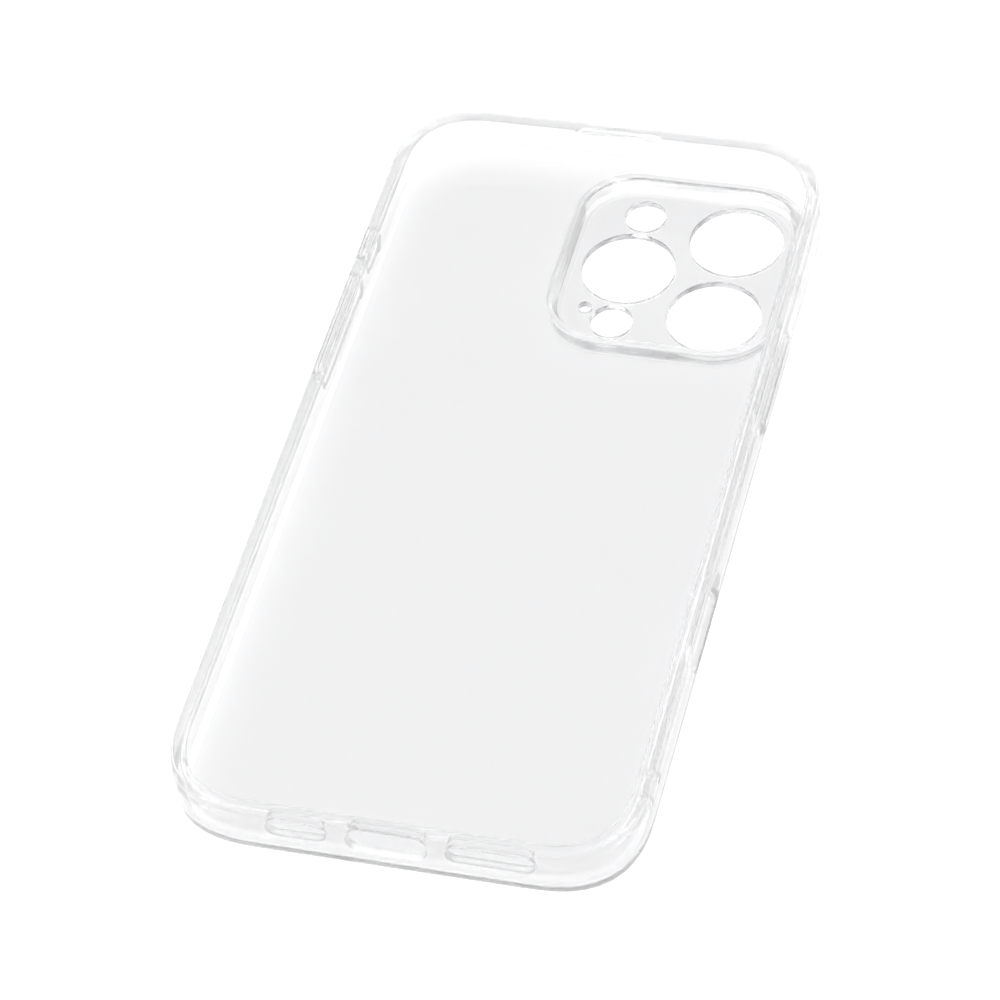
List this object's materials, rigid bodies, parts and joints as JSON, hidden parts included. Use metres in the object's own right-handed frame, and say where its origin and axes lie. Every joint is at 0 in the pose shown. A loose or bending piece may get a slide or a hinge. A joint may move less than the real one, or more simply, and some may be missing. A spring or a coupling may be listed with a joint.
{
  "type": "phone case",
  "caption": "Clear flexible phone case with a raised lip, press-through button covers, port openings and a raised guard with lens holes.",
  "frame": {"origin": "centre of the bounding box in X and Y, at its lowest plane in Z, which is the underside of the camera guard", "axes": "+Z out of the open side, where the phone's screen shows; +Y towards the end with the cameras; +X towards the power button"},
  "size_m": [0.0822, 0.1662, 0.0137],
  "materials": {
    "clear_soft": "clear flexible plastic, glossy",
    "clear_dotted": "clear flexible plastic with a fine dotted inner face"
  },
  "bodies": {
    "case_shell": {"bumper_frame": "clear_soft", "back_panel": "clear_dotted", "camera_guard": "clear_soft", "lens_plate": "clear_dotted"},
    "action_button": {"action_button_cover": "clear_soft"},
    "volume_rocker": {"volume_rocker_cover": "clear_soft"},
    "power_button": {"power_button_cover": "clear_soft"}
  },
  "joints": [
    {"name": "action_button_press", "type": "slide", "parent": "case_shell", "child": "action_button", "axis": [1, 0, 0], "range_m": [0, 0.0004], "stiffness_N_per_m": 3000},
    {"name": "power_button_press", "type": "slide", "parent": "case_shell", "child": "power_button", "axis": [-1, 0, 0], "range_m": [0, 0.0004], "stiffness_N_per_m": 3000},
    {"name": "volume_rocker_rock", "type": "hinge", "parent": "case_shell", "child": "volume_rocker", "pos_m": [-0.04005, 0.0275, 0.0085], "axis": [0, 0, 1], "range_deg": [-1.5, 1.5], "stiffness_Nm_per_rad": 0.5}
  ]
}
